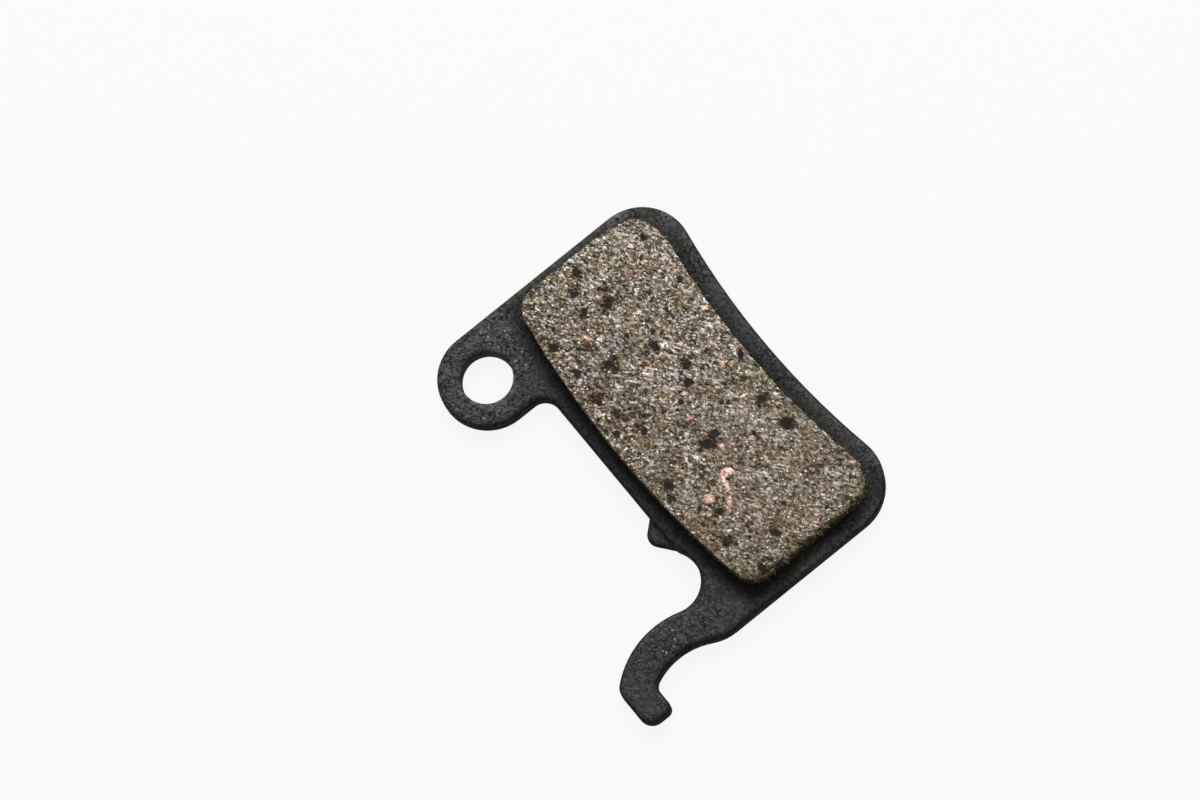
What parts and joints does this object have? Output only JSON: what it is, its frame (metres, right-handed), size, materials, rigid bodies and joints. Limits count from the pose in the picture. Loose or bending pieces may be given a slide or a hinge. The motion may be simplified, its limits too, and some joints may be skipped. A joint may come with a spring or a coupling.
{
  "type": "bicycle disc brake pad",
  "caption": "Flat brake pad: a black stamped steel backing plate with a pin lug and a hook carries a moulded block of friction compound that presses on the brake disc.",
  "frame": {"origin": "axis of the pin hole at the back face of the plate, which is also the face that the pad lies on", "axes": "+X along the plate from the pin lug to the hook, +Y towards the wheel's axle, +Z out of the friction face"},
  "size_m": [0.0331, 0.0266, 0.004],
  "materials": {
    "powder_coat": "satin black powder coat with a fine wrinkle on stamped steel",
    "friction_compound": "sanded brown-grey friction compound with metal flecks, dark grains and copper shavings"
  },
  "bodies": {
    "root": {"backing_plate": "powder_coat", "friction_block": "friction_compound"}
  },
  "joints": []
}
